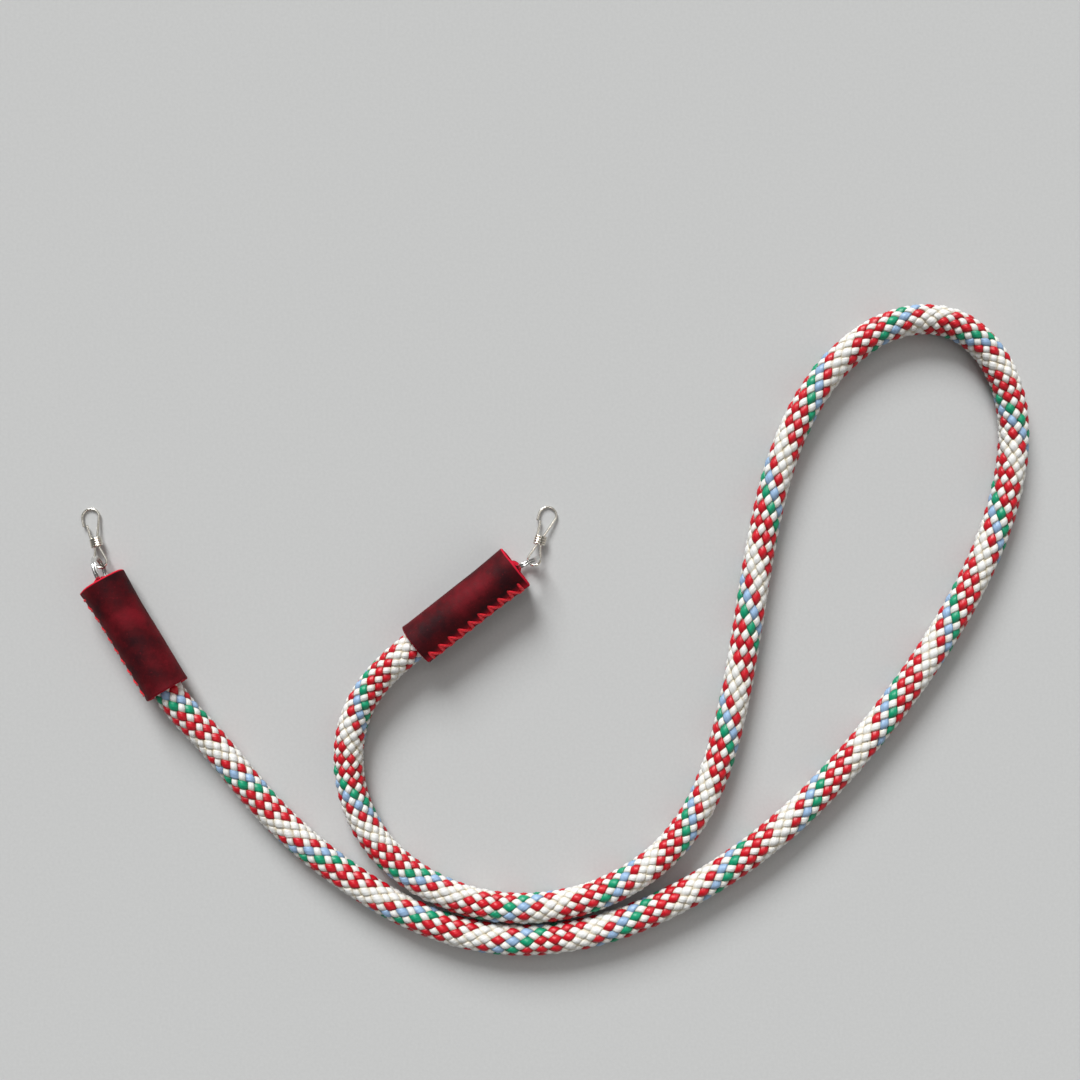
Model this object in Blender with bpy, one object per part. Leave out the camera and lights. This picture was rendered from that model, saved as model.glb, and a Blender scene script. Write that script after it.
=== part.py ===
"""Rope camera strap, lying on a flat surface in one open loop.

Metres, +Z up. The surface is z = 0, and the origin lies on it, midway between the strap's two ends.
A braided rope ends in a stitched leather sleeve at each end. In each sleeve's mouth a folded leather
loop holds a two-turn split ring, and a wire snap hook hangs on the ring.
"""

import math

import bmesh
import bpy
import numpy as np
from mathutils import Matrix, Vector

# Rope
ROPE_DIAMETER = 0.0114
ROPE_PIECES = 78
ROPE_BEVEL = 4

# Clearance between pieces that touch on the real strap
FIT_GAP = 0.0003

# Leather sleeves
SLEEVE_LENGTH = 0.047
SLEEVE_WALL = 0.0022
SLEEVE_FLARE = 0.0005
SLEEVE_FLATTENED = 0.0005
SLEEVE_SIDES = 32
ROPE_END_DEPTH = 0.0135

# Split rings
RING_DIAMETER = 0.0125
RING_RADIAL = 0.0012
RING_AXIAL = 0.0017
RING_STAND_OUT = 0.003
RING_GROOVE = 0.00015
RING_SIDES = 32

# Leather loops that hold the split rings
LOOP_THICKNESS = 0.0015
LOOP_WIDTH = 0.0065
LOOP_FOLD_STEPS = 10

# Wire snap hooks
HOOK_WIRE = 0.0009
HOOK_LENGTH = 0.0237
HOOK_HEAD_WIDTH = 0.0074
HOOK_EYE_WIDTH = 0.0057
HOOK_WRAP_START = 0.0082
HOOK_WRAP_LENGTH = 0.0036
HOOK_WRAP_TURNS = 4
HOOK_GATE_END = 0.0175
HOOK_ARC_STEPS = 12
HOOK_SIDES = 8
WRAP_SIDES = 20
HOOK_SEAT_ANGLE = math.radians(47)
SURFACE_GAP = 0.00002

# The sleeve's outline along its length: 0 is its rope end and 1 its mouth, and flare is the share of SLEEVE_FLARE
SLEEVE_STATIONS = (
    {"along": 0.0, "flare": 0.35},
    {"along": 0.05, "flare": 0.0},
    {"along": 0.35, "flare": 0.0},
    {"along": 0.71, "flare": 0.0},
    {"along": 0.87, "flare": 0.45},
    {"along": 1.0, "flare": 1.0},
)

# The strap's two ends: how far each split ring and each hook is turned from its sleeve's own direction
ENDS = (
    {"side": "left", "ring_turn": math.radians(-12), "hook_turn": math.radians(-16)},
    {"side": "right", "ring_turn": math.radians(-13), "hook_turn": math.radians(35)},
)

# The rope's centre from its end in the left sleeve to its end in the right one: x, y, and the share of the
# rise from lying on the surface to the height of the sleeves' bores
ROUTE = (
    (-0.0720, -0.0032, 1.0),
    (-0.0650, -0.0148, 1.0),
    (-0.0583, -0.0259, 1.0),
    (-0.0531, -0.0345, 0.93),
    (-0.0394, -0.0506, 0.3),
    (-0.0202, -0.0736, 0.0),
    (0.0016, -0.0939, 0.0),
    (0.0263, -0.1105, 0.0),
    (0.0537, -0.1218, 0.0),
    (0.0834, -0.1243, 0.0),
    (0.1126, -0.1181, 0.0),
    (0.1429, -0.1036, 0.0),
    (0.1702, -0.0842, 0.0),
    (0.1942, -0.0607, 0.0),
    (0.2154, -0.0347, 0.0),
    (0.2341, -0.0068, 0.0),
    (0.2477, 0.0199, 0.0),
    (0.2562, 0.0484, 0.0),
    (0.2569, 0.0708, 0.0),
    (0.2492, 0.0915, 0.0),
    (0.2349, 0.1032, 0.0),
    (0.2165, 0.1039, 0.0),
    (0.1999, 0.0957, 0.0),
    (0.1846, 0.0794, 0.0),
    (0.1717, 0.0526, 0.0),
    (0.1631, 0.0164, 0.0),
    (0.1571, -0.0204, 0.0),
    (0.1499, -0.0532, 0.0),
    (0.1381, -0.0805, 0.0),
    (0.1200, -0.0992, 0.0),
    (0.0963, -0.1101, 0.0),
    (0.0668, -0.1122, 0.0),
    (0.0421, -0.1046, 0.0),
    (0.0220, -0.0881, 0.0),
    (0.0121, -0.0644, 0.0),
    (0.0154, -0.0388, 0.3),
    (0.0341, -0.0171, 0.93),
    (0.0420, -0.0110, 1.0),
    (0.0523, -0.0030, 1.0),
    (0.0629, 0.0053, 1.0),
)

# Sizes that follow from those above
BORE_RADIUS = ROPE_DIAMETER / 2 + FIT_GAP
SLEEVE_RADIUS = BORE_RADIUS + SLEEVE_WALL
AXIS_HEIGHT = SLEEVE_RADIUS - SLEEVE_FLATTENED
RING_INSIDE = RING_DIAMETER / 2 - RING_RADIAL
RING_MIDDLE = RING_DIAMETER / 2 - RING_RADIAL / 2


def make_material(name, color, roughness, metallic=0.0):
    material = bpy.data.materials.new(name)
    material.use_nodes = True
    shader = material.node_tree.nodes["Principled BSDF"]
    shader.inputs["Base Color"].default_value = (*color, 1.0)
    shader.inputs["Roughness"].default_value = roughness
    shader.inputs["Metallic"].default_value = metallic
    return material


def add_object(name, data, material, parent=None):
    """A new object in the scene's collection, with its material, under its parent."""
    added = bpy.data.objects.new(name, data)
    added.data.materials.append(material)
    added.parent = parent
    bpy.context.scene.collection.objects.link(added)
    return added


def skin(name, sections, closed):
    """A closed mesh over a row of like sections, which either meets its own start or is capped at both ends."""
    shape = bmesh.new()
    rings = [[shape.verts.new(point) for point in section] for section in sections]
    pairs = list(zip(rings, rings[1:]))
    if closed:
        pairs.append((rings[-1], rings[0]))
    for first, second in pairs:
        for i in range(len(first)):
            j = (i + 1) % len(first)
            shape.faces.new((first[i], first[j], second[j], second[i]))
    if not closed:
        shape.faces.new(rings[0])
        shape.faces.new(rings[-1])
    bmesh.ops.recalc_face_normals(shape, faces=shape.faces)
    mesh = bpy.data.meshes.new(name)
    shape.to_mesh(mesh)
    shape.free()
    mesh.shade_smooth()
    mesh.set_sharp_from_angle(angle=math.radians(40))
    return mesh


def route_points():
    """The rope's route in space, from the surface up to the sleeves' bores."""
    resting = ROPE_DIAMETER / 2
    return np.array([(x, y, resting + rise * (AXIS_HEIGHT - resting)) for x, y, rise in ROUTE])


def smooth_line(points, pieces):
    """Points at even steps along the natural cubic spline through the given ones."""
    spans = np.linalg.norm(np.diff(points, axis=0), axis=1)
    knots = np.concatenate([[0.0], np.cumsum(spans)])
    system = np.eye(len(points))
    right = np.zeros_like(points)
    slopes = np.diff(points, axis=0) / spans[:, None]
    for i in range(1, len(points) - 1):
        system[i, i - 1 : i + 2] = spans[i - 1], 2 * (spans[i - 1] + spans[i]), spans[i]
        right[i] = 6 * (slopes[i] - slopes[i - 1])
    bends = np.linalg.solve(system, right)

    def read(at):
        i = np.clip(np.searchsorted(knots, at, side="right") - 1, 0, len(spans) - 1)
        near = ((knots[i + 1] - at) / spans[i])[:, None]
        far = 1 - near
        curved = (near**3 - near) * bends[i] + (far**3 - far) * bends[i + 1]
        return near * points[i] + far * points[i + 1] + curved * (spans[i] ** 2)[:, None] / 6

    fine = read(np.linspace(0, knots[-1], 40 * pieces))
    lengths = np.concatenate([[0.0], np.cumsum(np.linalg.norm(np.diff(fine, axis=0), axis=1))])
    even = np.linspace(0, lengths[-1], pieces + 1)
    return np.stack([np.interp(even, lengths, fine[:, k]) for k in range(3)], axis=1)


def add_rope(material):
    line = smooth_line(route_points(), ROPE_PIECES)
    line[:, 2] = np.maximum(line[:, 2], ROPE_DIAMETER / 2)
    curve = bpy.data.curves.new("rope", "CURVE")
    curve.dimensions = "3D"
    curve.bevel_depth = ROPE_DIAMETER / 2
    curve.bevel_resolution = ROPE_BEVEL
    curve.use_fill_caps = True
    spline = curve.splines.new("POLY")
    spline.points.add(len(line) - 1)
    for point, place in zip(spline.points, line):
        point.co = (*place, 1.0)
    return add_object("rope", curve, material)


def add_end(side, rope_end, rope_inward):
    """An empty on the surface below the middle of a sleeve's mouth, with its X axis pointing out of the mouth."""
    out = Vector((rope_end[0] - rope_inward[0], rope_end[1] - rope_inward[1], 0)).normalized()
    end = bpy.data.objects.new(f"end_{side}", None)
    end.location = Vector((rope_end[0], rope_end[1], 0)) + out * ROPE_END_DEPTH
    end.rotation_euler = (0, 0, math.atan2(out.y, out.x))
    bpy.context.scene.collection.objects.link(end)
    return end


def add_sleeve(side, end, material):
    """A leather tube whose underside is flattened where it lies, and whose mouth opens a little."""
    outside, inside = [], []
    for station in SLEEVE_STATIONS:
        x = (station["along"] - 1) * SLEEVE_LENGTH
        outer = SLEEVE_RADIUS + station["flare"] * SLEEVE_FLARE
        middle = outer - SLEEVE_FLATTENED
        for radius, section_list in ((outer, outside), (outer - SLEEVE_WALL, inside)):
            section = []
            for k in range(SLEEVE_SIDES):
                turn = math.tau * k / SLEEVE_SIDES
                section.append((x, radius * math.sin(turn), max(0.0, middle - radius * math.cos(turn))))
            section_list.append(section)
    mesh = skin(f"sleeve_{side}", outside + inside[::-1], closed=True)
    return add_object(f"sleeve_{side}", mesh, material, end)


def loop_sizes(ring_turn):
    """The loop's half hollow, and how far from the mouth its fold starts and the ring's inner wire stands."""
    turn = abs(ring_turn)
    pivot = RING_STAND_OUT - RING_MIDDLE * math.cos(turn)
    crown = RING_MIDDLE - math.sqrt(RING_INSIDE**2 - (LOOP_WIDTH / 2) ** 2)
    corner_x = pivot + crown * math.cos(turn) - RING_AXIAL / 2 * math.sin(turn)
    corner_y = crown * math.sin(turn) + RING_AXIAL / 2 * math.cos(turn)
    clear = corner_y + FIT_GAP
    fold = corner_x - math.sqrt(clear**2 - corner_y**2)
    return clear + FIT_GAP, fold, pivot


def add_loop(side, end, ring_turn, material):
    """A leather strip folded round the split ring's wire, its legs side by side down to the rope's end."""
    hollow, fold, _ = loop_sizes(ring_turn)
    outer = hollow + LOOP_THICKNESS
    back = FIT_GAP - ROPE_END_DEPTH
    path = [(back, math.pi / 2)]
    path += [(fold, turn) for turn in np.linspace(math.pi / 2, -math.pi / 2, LOOP_FOLD_STEPS + 1)]
    path.append((back, -math.pi / 2))
    low, high = AXIS_HEIGHT - LOOP_WIDTH / 2, AXIS_HEIGHT + LOOP_WIDTH / 2
    sections = []
    for x, turn in path:
        section = []
        for radius, z in ((hollow, low), (outer, low), (outer, high), (hollow, high)):
            section.append((x + radius * math.cos(turn), radius * math.sin(turn), z))
        sections.append(section)
    mesh = skin(f"ring_loop_{side}", sections, closed=False)
    return add_object(f"ring_loop_{side}", mesh, material, end)


def ring_place(ring_turn):
    """The split ring's middle from the mouth, and its plane's level direction."""
    pivot = loop_sizes(ring_turn)[2]
    along = Vector((math.cos(ring_turn), math.sin(ring_turn), 0))
    return Vector((pivot, 0, AXIS_HEIGHT)) + RING_MIDDLE * along, along


def add_ring(side, end, ring_turn, material):
    """A flat two-turn ring that stands on edge, with the groove between its turns round its rim."""
    outer = RING_DIAMETER / 2
    profile = (
        (RING_INSIDE, -RING_AXIAL / 2),
        (outer, -RING_AXIAL / 2),
        (outer, -RING_GROOVE),
        (outer - RING_GROOVE, 0.0),
        (outer, RING_GROOVE),
        (outer, RING_AXIAL / 2),
        (RING_INSIDE, RING_AXIAL / 2),
    )
    sections = []
    for k in range(RING_SIDES):
        turn = math.tau * k / RING_SIDES
        sections.append([(radius * math.cos(turn), y, radius * math.sin(turn)) for radius, y in profile])
    ring = add_object(f"split_ring_{side}", skin(f"split_ring_{side}", sections, closed=True), material, end)
    ring.location = ring_place(ring_turn)[0]
    ring.rotation_euler = (0, 0, ring_turn)
    return ring


def arc(middle, radius, start, stop, steps):
    return [
        (middle[0] + radius * math.cos(turn), middle[1] + radius * math.sin(turn))
        for turn in np.linspace(start, stop, steps + 1)
    ]


def hook_line():
    """The hook's wire in its own plane, from the gate's end through the wrap, the eye and the head to the tip."""
    half = HOOK_WIRE / 2
    wrap_end = HOOK_WRAP_START + HOOK_WRAP_LENGTH
    head_radius = HOOK_HEAD_WIDTH / 2 - half
    eye_radius = HOOK_EYE_WIDTH / 2 - half
    head_middle = (HOOK_LENGTH - HOOK_HEAD_WIDTH / 2, 0.0)
    eye_middle = (half + eye_radius, 0.0)
    leg = half + FIT_GAP
    gate_side = head_radius - HOOK_WIRE - FIT_GAP
    line = [(HOOK_GATE_END, gate_side), (wrap_end, gate_side - half), (HOOK_WRAP_START, leg)]
    line += arc(eye_middle, eye_radius, math.pi / 2, 3 * math.pi / 2, HOOK_ARC_STEPS)
    line += [(HOOK_WRAP_START, -leg), (wrap_end, -leg)]
    line += arc(head_middle, head_radius, -math.pi / 2, math.pi / 2, HOOK_ARC_STEPS)
    line.append((HOOK_GATE_END - half, head_radius))
    return line


def wire_sections(line):
    """Round sections across a wire that lies in the XY plane."""
    places = [Vector((*point, 0)) for point in line]
    sections = []
    for i, place in enumerate(places):
        before = (place - places[i - 1]).normalized() if i else Vector()
        after = (places[i + 1] - place).normalized() if i < len(places) - 1 else Vector()
        along = (before + after).normalized()
        side = Vector((-along.y, along.x, 0))
        section = []
        for k in range(HOOK_SIDES):
            turn = math.tau * (k + 0.5) / HOOK_SIDES
            across = side * math.cos(turn) + Vector((0, 0, 1)) * math.sin(turn)
            section.append(place + across * HOOK_WIRE / 2)
        sections.append(section)
    return sections


def wrap_sections():
    """The wrap's turns of wire side by side round the hook's two legs, as one ribbed oval barrel."""
    pitch = HOOK_WRAP_LENGTH / HOOK_WRAP_TURNS
    half_wide = 2 * HOOK_WIRE + 2 * FIT_GAP
    half_high = 1.5 * HOOK_WIRE
    valley = 0.3 * HOOK_WIRE
    steps = ((0.0, valley), (0.2, valley / 4), (0.5, 0.0), (0.8, valley / 4))
    rows = [((turn + share) * pitch, dip) for turn in range(HOOK_WRAP_TURNS) for share, dip in steps]
    rows.append((HOOK_WRAP_LENGTH, valley))
    sections = []
    for along, dip in rows:
        section = []
        for k in range(WRAP_SIDES):
            turn = math.tau * k / WRAP_SIDES
            y = (half_wide - dip) * math.cos(turn)
            z = (half_high - dip) * math.sin(turn)
            section.append((HOOK_WRAP_START + along, y, z))
        sections.append(section)
    return sections


def hook_matrix(ring_turn, hook_turn):
    """Where the hook lies: its eye round the ring's lower outer wire, and its head down on the surface."""
    middle, along = ring_place(ring_turn)
    seat = middle + RING_MIDDLE * (math.cos(HOOK_SEAT_ANGLE) * along - math.sin(HOOK_SEAT_ANGLE) * Vector((0, 0, 1)))
    eye_at = HOOK_WIRE + FIT_GAP + (RING_RADIAL + RING_AXIAL) / 2
    lowest = HOOK_WIRE / 2 + SURFACE_GAP
    down = math.asin((seat.z - lowest) / (HOOK_LENGTH - HOOK_WIRE / 2 - eye_at))
    turned = Matrix.Rotation(hook_turn, 4, "Z") @ Matrix.Rotation(down, 4, "Y")
    return Matrix.Translation(seat) @ turned @ Matrix.Translation((-eye_at, 0, 0))


def add_hook(side, end, ring_turn, hook_turn, material):
    place = hook_matrix(ring_turn, hook_turn)
    hook = add_object(f"wire_hook_{side}", skin(f"wire_hook_{side}", wire_sections(hook_line()), False), material, end)
    wrap = add_object(f"wrap_{side}", skin(f"wrap_{side}", wrap_sections(), False), material, end)
    wrap.hide_render = True
    wrap.display_type = "WIRE"
    for item in (hook, wrap):
        item.matrix_local = place
    union = hook.modifiers.new("wrap", "BOOLEAN")
    union.operation = "UNION"
    union.solver = "EXACT"
    union.object = wrap
    return hook


def build_strap():
    for old in list(bpy.data.objects):
        bpy.data.objects.remove(old, do_unlink=True)
    braid = make_material("braid", (0.72, 0.36, 0.36), 0.6)
    leather = make_material("leather", (0.14, 0.008, 0.012), 0.5)
    nickel = make_material("nickel", (0.78, 0.77, 0.74), 0.25, 1.0)
    add_rope(braid)
    route = route_points()
    rope_ends = {"left": (route[0], route[2]), "right": (route[-1], route[-3])}
    for row in ENDS:
        side, ring_turn = row["side"], row["ring_turn"]
        end = add_end(side, *rope_ends[side])
        add_sleeve(side, end, leather)
        add_loop(side, end, ring_turn, leather)
        add_ring(side, end, ring_turn, nickel)
        add_hook(side, end, ring_turn, row["hook_turn"], nickel)


build_strap()
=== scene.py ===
"""Rope camera strap: the finish of its braided rope, leather sleeves, split rings and wire hooks.

Metres, +Z up. The strap lies on the floor, z = 0, in one open loop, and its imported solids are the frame.
"""

import math

import bpy
import numpy as np
from mathutils import Matrix, Vector, noise


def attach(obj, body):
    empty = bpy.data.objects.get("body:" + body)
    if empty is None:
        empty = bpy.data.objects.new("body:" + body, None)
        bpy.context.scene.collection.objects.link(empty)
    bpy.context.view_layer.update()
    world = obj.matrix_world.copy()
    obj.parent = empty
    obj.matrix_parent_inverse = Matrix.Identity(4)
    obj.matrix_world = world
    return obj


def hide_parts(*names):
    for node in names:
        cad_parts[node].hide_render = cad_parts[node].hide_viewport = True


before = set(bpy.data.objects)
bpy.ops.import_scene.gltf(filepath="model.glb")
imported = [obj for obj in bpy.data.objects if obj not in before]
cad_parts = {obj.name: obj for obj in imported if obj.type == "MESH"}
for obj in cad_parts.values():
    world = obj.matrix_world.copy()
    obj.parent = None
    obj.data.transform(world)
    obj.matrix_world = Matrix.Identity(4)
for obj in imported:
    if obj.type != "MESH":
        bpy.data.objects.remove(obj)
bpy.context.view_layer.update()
BODY = "root"

bl_info = {
    "name": "Rope camera strap",
    "version": (1, 0, 0),
    "blender": (4, 5, 0),
    "location": "View3D > Sidebar > Strap",
    "description": "Dresses the packed rope camera strap piece by piece",
    "category": "Object",
}

# Sizes that the solids are built to, in metres
ROPE_DIAMETER = 0.0114
FIT_GAP = 0.0003
SLEEVE_LENGTH = 0.047
SLEEVE_WALL = 0.0022
SLEEVE_FLARE = 0.0005
SLEEVE_FLATTENED = 0.0005
ROPE_END_DEPTH = 0.0135
RING_DIAMETER = 0.0125
RING_RADIAL = 0.0012
RING_AXIAL = 0.0017
RING_STAND_OUT = 0.003
LOOP_THICKNESS = 0.0015
LOOP_WIDTH = 0.0065
HOOK_WIRE = 0.0009
HOOK_LENGTH = 0.0237
HOOK_HEAD_WIDTH = 0.0074
HOOK_EYE_WIDTH = 0.0057
HOOK_WRAP_START = 0.0082
HOOK_WRAP_LENGTH = 0.0036
HOOK_WRAP_TURNS = 4
HOOK_GATE_END = 0.0175
HOOK_SEAT_ANGLE = math.radians(47)
SURFACE_GAP = 0.00002
BORE_RADIUS = ROPE_DIAMETER / 2 + FIT_GAP
SLEEVE_RADIUS = BORE_RADIUS + SLEEVE_WALL
AXIS_HEIGHT = SLEEVE_RADIUS - SLEEVE_FLATTENED
ROPE_HIDDEN = SLEEVE_LENGTH - ROPE_END_DEPTH
RING_INSIDE = RING_DIAMETER / 2 - RING_RADIAL
RING_MIDDLE = RING_DIAMETER / 2 - RING_RADIAL / 2

# The sleeve's flare along its length, from its rope end at 0 to its mouth at 1
SLEEVE_ALONG = (0.0, 0.05, 0.35, 0.71, 0.87, 1.0)
SLEEVE_FLARES = (0.35, 0.0, 0.0, 0.0, 0.45, 1.0)

# For each end, how far its ring and its hook are turned from the way that its sleeve points, and where its
# seam lies: on the left (1) or right (-1) as seen out of the mouth, and how far up from the axis's level
ENDS = (
    {
        "side": "left",
        "ring_turn": math.radians(-12),
        "hook_turn": math.radians(-16),
        "seam_side": 1,
        "seam_rise": math.radians(1),
    },
    {
        "side": "right",
        "ring_turn": math.radians(-13),
        "hook_turn": math.radians(35),
        "seam_side": -1,
        "seam_rise": math.radians(29),
    },
)

# The rope's centre from its end in the left sleeve to its end in the right one: x, y, and the share of the
# rise from lying on the floor to the height of the sleeves' bores
ROUTE = (
    (-0.0720, -0.0032, 1.0),
    (-0.0650, -0.0148, 1.0),
    (-0.0583, -0.0259, 1.0),
    (-0.0531, -0.0345, 0.93),
    (-0.0394, -0.0506, 0.3),
    (-0.0202, -0.0736, 0.0),
    (0.0016, -0.0939, 0.0),
    (0.0263, -0.1105, 0.0),
    (0.0537, -0.1218, 0.0),
    (0.0834, -0.1243, 0.0),
    (0.1126, -0.1181, 0.0),
    (0.1429, -0.1036, 0.0),
    (0.1702, -0.0842, 0.0),
    (0.1942, -0.0607, 0.0),
    (0.2154, -0.0347, 0.0),
    (0.2341, -0.0068, 0.0),
    (0.2477, 0.0199, 0.0),
    (0.2562, 0.0484, 0.0),
    (0.2569, 0.0708, 0.0),
    (0.2492, 0.0915, 0.0),
    (0.2349, 0.1032, 0.0),
    (0.2165, 0.1039, 0.0),
    (0.1999, 0.0957, 0.0),
    (0.1846, 0.0794, 0.0),
    (0.1717, 0.0526, 0.0),
    (0.1631, 0.0164, 0.0),
    (0.1571, -0.0204, 0.0),
    (0.1499, -0.0532, 0.0),
    (0.1381, -0.0805, 0.0),
    (0.1200, -0.0992, 0.0),
    (0.0963, -0.1101, 0.0),
    (0.0668, -0.1122, 0.0),
    (0.0421, -0.1046, 0.0),
    (0.0220, -0.0881, 0.0),
    (0.0121, -0.0644, 0.0),
    (0.0154, -0.0388, 0.3),
    (0.0341, -0.0171, 0.93),
    (0.0420, -0.0110, 1.0),
    (0.0523, -0.0030, 1.0),
    (0.0629, 0.0053, 1.0),
)

# Points that the rope's line is measured over, and those that the core and the cord's path are drawn with
LINE_POINTS = 6000
PATH_POINTS = 400

# The plain core inside the braid, and how far short of the rope's ends it stops
CORE_RADIUS = 0.0039
CORE_SIDES = 16
CORE_INSET = 0.0005

# The lay of the braid: metres past the left sleeve, whole turns that the coloured strands have made round
# the rope, and how far a column of coloured crossings lies to the right of the rope's top, in degrees
BRAID_LAY = (
    (0.006, 0.237, 5),
    (0.084, 2.252, -1),
    (0.167, 4.263, -10),
    (0.246, 6.201, -27),
    (0.332, 8.261, -44),
    (0.415, 10.287, -58),
    (0.450, 11.182, -67),
    (0.486, 12.257, -92),
    (0.518, 13.199, -118),
    (0.559, 14.233, -133),
    (0.642, 16.166, -146),
    (0.686, 17.185, -158),
    (0.760, 19.172, -193),
    (0.840, 21.212, -211),
    (0.912, 23.182, -201),
)
COLOURED_STRANDS = ("red", "blue", "green", "red", "red", "red", "ivory", "ivory")
STRANDS_EACH_WAY = 8

# A strand's section: where its underside has points, in half turns, the share of the way round it that is
# its rounded outer side, its width to its height on the strip of material, its thickness below to that
# above, how much plumper it gets where it lies over the others, and how far it may pass the rope's radius
UNDERSIDE_TURNS = (1.25, 1.5, 1.75)
CROWN_SHARE = 0.62
FLATNESS = 3
UNDERSIDE_THICKNESS = 0.65
PLUMPER_OVER = 0.12
PROUD = 0.0001

# How much rounder than a plain wave a strand's way over and under is, and how far it strays from its place
# beside its neighbours
WAVE_ROUNDING = 0.3
SWAY = 0.035

# Seeds of the strands' unevenness, and the places where they start on the strip of material, for one strand
# after another and for the coloured (1) and the plain (-1) way, so that no two strands are the same
SEED_STEP = 100
WAY_SEEDS = {1: 7, -1: 3}
STRIP_STEP = 37
WAY_STRIPS = {1: 500, -1: 0}

# A strand's finish: how closely its fibres and its faded patches lie across and along it, how far its
# yarns wander, and its ramps. In a ramp of tones, each pair is a place and the share of the colour there
FIBRE_STRETCH = (70.0, 0.45, 1.0)
FIBRE_TONES = ((0.25, 0.87), (0.55, 1.0), (0.8, 1.10))
FIBRE_ROUGHNESS = ((0.2, 0.48), (0.8, 0.35))
PATCH_STRETCH = (2.0, 0.55, 1.0)
PATCH_TONES = ((0.3, 0.9), (0.7, 1.0))
YARN_WANDER = 2.2
# Painted shade in the grooves between a strand's yarns
YARN_PAINTED_SHADE = ((0.0, 0.90), (0.4, 1.0))
# Painted shade where a strand tucks under the others: the depths in the braid over which its colour
# deepens, and how far the coloured strands are darkened
PAINTED_SHADE_DEPTHS = ((0.16, 0.0), (0.52, 1.0))
PAINTED_SHADE_AMOUNT = 0.5

# Features to a metre in the leather's clouds, mottle, scuffs, cut fibres, grain and inner nap, and how many
# metres of relief some of them have
CLOUD_SCALE = 85.0
MOTTLE_SCALE = 620.0
SCUFF_SCALE = 1100.0
CUT_SCALE = 3200.0
GRAIN_SCALE = 2100.0
NAP_SCALE = 1500.0
GRAIN_RELIEF = 0.00005
MOTTLE_RELIEF = 0.00006
CUT_RELIEF = 0.00003
NAP_RELIEF = 0.00015

# The share of mottle in the leather's clouds, and the ramps that read its noises
MOTTLE_SHARE = 0.18
DARK_UNTIL, MIDDLE_AT, LIGHT_FROM = 0.36, 0.50, 0.68
MIDDLE_SHADE = 0.45
SCUFFS = ((0.62, 0.0), (0.75, 0.3))
SCUFF_SHADE = 1.4
CUT_TONES = ((0.3, 0.62), (0.6, 1.0), (0.8, 1.2))
CUT_ROUGHNESS = 0.8
LEATHER_ROUGHNESS = ((0.3, 0.56), (0.7, 0.74))
NAP_TONES = ((0.3, 0.6), (0.7, 1.6))

# The sleeve's mesh: its rounded edges, the points along its outer and its inner side, and how far the
# points round it crowd together at the seam
SLEEVE_CORNER = 0.0007
OUTER_POINTS = 92
INNER_POINTS = 30
CROWDING = 0.75

# The leather's unevenness: its height, how close its features are along and round the sleeve, and how far
# each sleeve's place in the noise is from its middle
UNEVEN_HEIGHT = 0.00016
UNEVEN_ALONG = 60
UNEVEN_ROUND = 0.6
UNEVEN_APART = 7.0

# The raggedness of the cut edges: its height, how close its features are, and its place in the noise
RAGGED_HEIGHT = 0.00018
RAGGED_ALONG = 5
RAGGED_ROUND = 1.8
RAGGED_PLACE = 9

# The butt seam: its groove, the gap that it opens in the cut ends, and how bare and how worn the leather is
# beside it
GROOVE_WIDTH = 0.00030
GROOVE_DEPTH = 0.00036
SLIT_DEPTH = 0.0005
BARE_WIDTH = 0.00080
BARE_STRENGTH = 1.6
WORN_WIDTH = 0.0022
WORN_STRENGTH = 0.4

# The swell of the leather's lips along the seam, and of the whole seam towards the mouth
LIP_HEIGHT = 0.00022
LIP_PLACE = 0.0012
LIP_WIDTH = 0.0010
MOUTH_SWELL_HEIGHT = 0.0005
MOUTH_SWELL_WIDTH = 0.0022
MOUTH_SWELL_LENGTH = 0.008

# The dimple at each stitch hole, and the waist that each pair of holes pulls into the seam
DIMPLE_RADIUS = 0.00055
DIMPLE_DEPTH = 0.0004
WAIST_DEPTH = 0.00012
WAIST_LENGTH = 0.0010
WAIST_WIDTH = 0.0028

# The stitch holes nearest the rope and nearest the mouth, in shares of the sleeve's length from the mouth
FIRST_HOLE = 0.94
FINAL_HOLE = 0.07

# A stitch: points along and round it, how squarely it rises from its holes, how high it stands, how much
# higher a slanted one passes over the straight ones, how deep its ends go, and how much thinner they are
STITCH_POINTS = 27
STITCH_SIDES = 12
STITCH_RISE = 0.4
STITCH_HEIGHT = 0.00085
SLANTED_HEIGHT = 0.00016
HOLE_DEPTH = 0.0010
STITCH_TAPER = 0.1

# The thread's finish: ridges of its plies to a metre and round it, their relief, their painted shade and
# light, and its wax
PLY_PITCH = 1700.0
PLY_RIDGES = 6.0
PLY_RELIEF = 0.00006
PLY_PAINTED_SHADE = ((0.0, 0.8), (0.35, 1.0), (0.95, 1.1))
WAX_STRETCH = (6.0, 1500.0, 1.0)
WAX_ROUGHNESS = ((0.3, 0.3), (0.7, 0.5))

# The ring loop's strip: its rounded corners and the steps in each, the points along its legs and round its
# fold, the width of its cut edges, and its unevenness
LOOP_CORNER = 0.00045
LOOP_CORNER_STEPS = 4
LEG_POINTS = 14
FOLD_POINTS = 25
LOOP_EDGE = 0.0004
LOOP_UNEVEN_HEIGHT = 0.00008
LOOP_UNEVEN_SCALES = (0.35, 900, 500)

# The split ring: the gap between its two turns, the rounding of its wire and the steps in each corner,
# where it starts, and how far round it steps over from the first turn to the second
TURNS_APART = 0.00003
RING_CORNER = 0.00014
RING_CORNER_STEPS = 3
RING_START = math.radians(160)
STEP_OVER = math.radians(24)

# The wire hook: points along its wire and along its wrap, passes that round its bends, steps in each arc,
# and the share of the wire's thickness that the wrap's wire has
HOOK_POINTS = 260
WRAP_POINTS = 200
BEND_PASSES = 3
ARC_STEPS = 12
WRAP_THINNESS = 0.97

# What is left of a wire's section at its tips
TIP_SHARE = 0.02

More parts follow.
